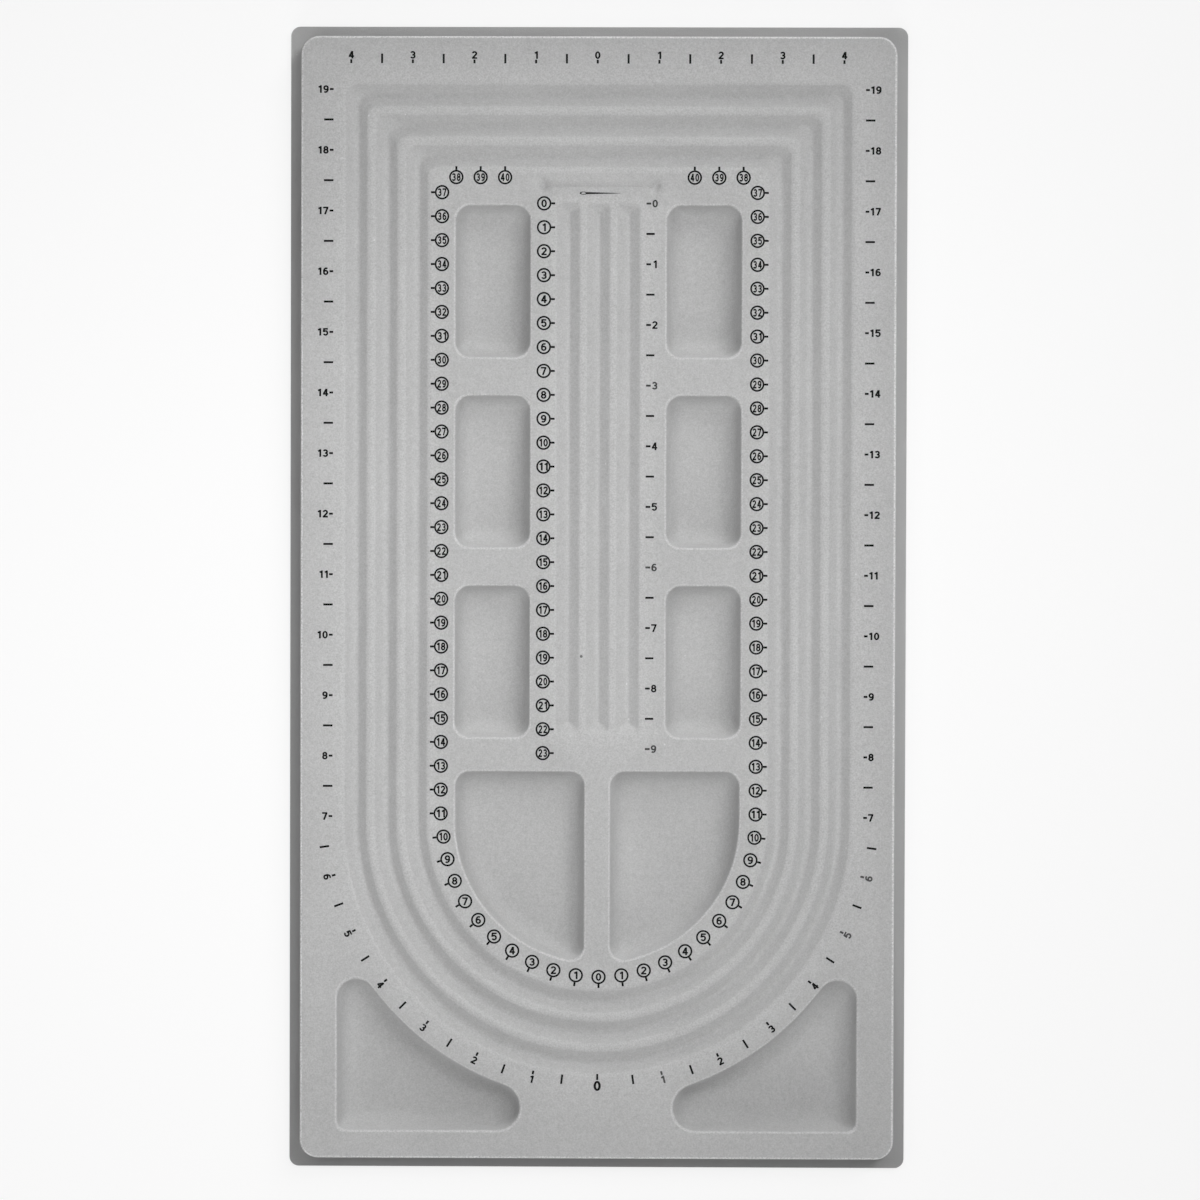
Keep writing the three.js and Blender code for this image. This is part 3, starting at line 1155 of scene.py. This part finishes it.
def makeFloor():
    finish = Finish("floor")
    rays = finish.node("ShaderNodeLightPath", out="Is Camera Ray")
    matt = {"Base Color": grey(stageLook["white"]), "Roughness": 0.9}
    paper = finish.node("ShaderNodeBsdfPrincipled", {}, matt)
    glow = finish.node("ShaderNodeEmission", {}, {"Color": grey(1.0), "Strength": 1.0})
    mixed = finish.node("ShaderNodeMixShader", {}, {0: rays * stageLook["backlit"], 1: paper, 2: glow})
    bm = bmesh.new()
    bmesh.ops.create_grid(bm, x_segments=1, y_segments=1, size=stageLook["size"] / 2)
    bmesh.ops.translate(bm, vec=(0, 0, -stageLook["drop"]), verts=bm.verts)
    mesh = bpy.data.meshes.new("floor")
    bm.to_mesh(mesh)
    bm.free()
    mesh.materials.append(finish.done(mixed))
    floor = bpy.data.objects.new("floor", mesh)
    bpy.context.scene.collection.objects.link(floor)


# Soft boxes close over the left and the top, two narrow beams from the upper right, a lamp in front,
# wide windows far off behind, in front and to the upper right, and an even fill. Beams are in degrees.
middle = (0.0, 0.0, 0.0)
beamEnd = (-0.02, -0.02, 0.0)
lamps = {
    "left": {"place": (-0.25, 0.0, 0.5), "aim": (-0.25, 0.0, 0.0), "size": 0.25, "power": 0.71, "beam": 180},
    "back": {"place": (0.0, 0.2, 0.5), "aim": (0.0, 0.2, 0.0), "size": 0.25, "power": 0.09, "beam": 180},
    "right": {"place": (0.3, 0.3, 0.91), "aim": beamEnd, "size": 0.35, "power": 0.305, "beam": 50},
    "key": {"place": (0.42, 0.73, 0.53), "aim": beamEnd, "size": 0.35, "power": 0.145, "beam": 50},
    "front": {"place": (0.0, -0.74, 0.67), "aim": middle, "size": 0.35, "power": 1.17, "beam": 180},
    "sideWindow": {"place": (3.15, 3.15, 4.01), "aim": middle, "size": 2.0, "power": 69.0, "beam": 180},
    "backWindow": {"place": (0.0, 5.91, 1.04), "aim": middle, "size": 2.0, "power": 70.0, "beam": 180},
    "frontWindow": {"place": (0.0, -5.56, 2.25), "aim": middle, "size": 2.0, "power": 79.0, "beam": 180},
}
fill = 0.12


def makeLights():
    for name, look in lamps.items():
        lamp = bpy.data.lights.new(name, "AREA")
        lamp.size = look["size"]
        lamp.energy = look["power"]
        lamp.spread = math.radians(look["beam"])
        holder = bpy.data.objects.new(name, lamp)
        holder.location = look["place"]
        toward = Vector(look["aim"]) - Vector(look["place"])
        holder.rotation_euler = toward.to_track_quat("-Z", "Y").to_euler()
        holder.visible_camera = False
        bpy.context.scene.collection.objects.link(holder)
    world = bpy.data.worlds.new("studio")
    world.use_nodes = True
    sky = world.node_tree.nodes["Background"]
    sky.inputs["Color"].default_value = grey(1.0)
    sky.inputs["Strength"].default_value = fill
    bpy.context.scene.world = world


# Looking straight down but for a small tilt, a little off the middle, with its turns in degrees
camera = {
    "place": (0.0121, 0.0215, 1.5),
    "turn": (-0.847, 0.431, 0.167),
    "lens": 106.16,
    "sensor": 36.0,
}


def makeCamera():
    lens = bpy.data.cameras.new("camera")
    lens.lens = camera["lens"]
    lens.sensor_width = camera["sensor"]
    holder = bpy.data.objects.new("camera", lens)
    holder.location = camera["place"]
    holder.rotation_euler = [math.radians(angle) for angle in camera["turn"]]
    bpy.context.scene.collection.objects.link(holder)
    bpy.context.scene.camera = holder


bpy.context.scene.view_settings.view_transform = "Standard"
makeCamera()
makeLights()
makeFloor()
print("stage ready")

sheetShell = boardShell(0.0, -sheet["thickness"])[0]
finishPiece(sheetShell, "formedSheet", plasticFinish(), "formed_sheet")
flockShell, flockUpper = boardShell(flock["lift"], flock["backing"])
finishPiece(flockShell, "flockLayer", flockFinish(), "flock_layer")

ink = inkFinish()
layInk(inchMarks(), "inchScale", flockUpper, ink)
layInk(ringMarks(), "circledCentimetreScale", flockUpper, ink)
layInk(centreRingMarks(), "centreCentimetreScale", flockUpper, ink)
layInk(centreInchMarks(), "centreInchScale", flockUpper, ink)
layInk(needleMarks(), "needleMark", flockUpper, ink)
print("print laid")
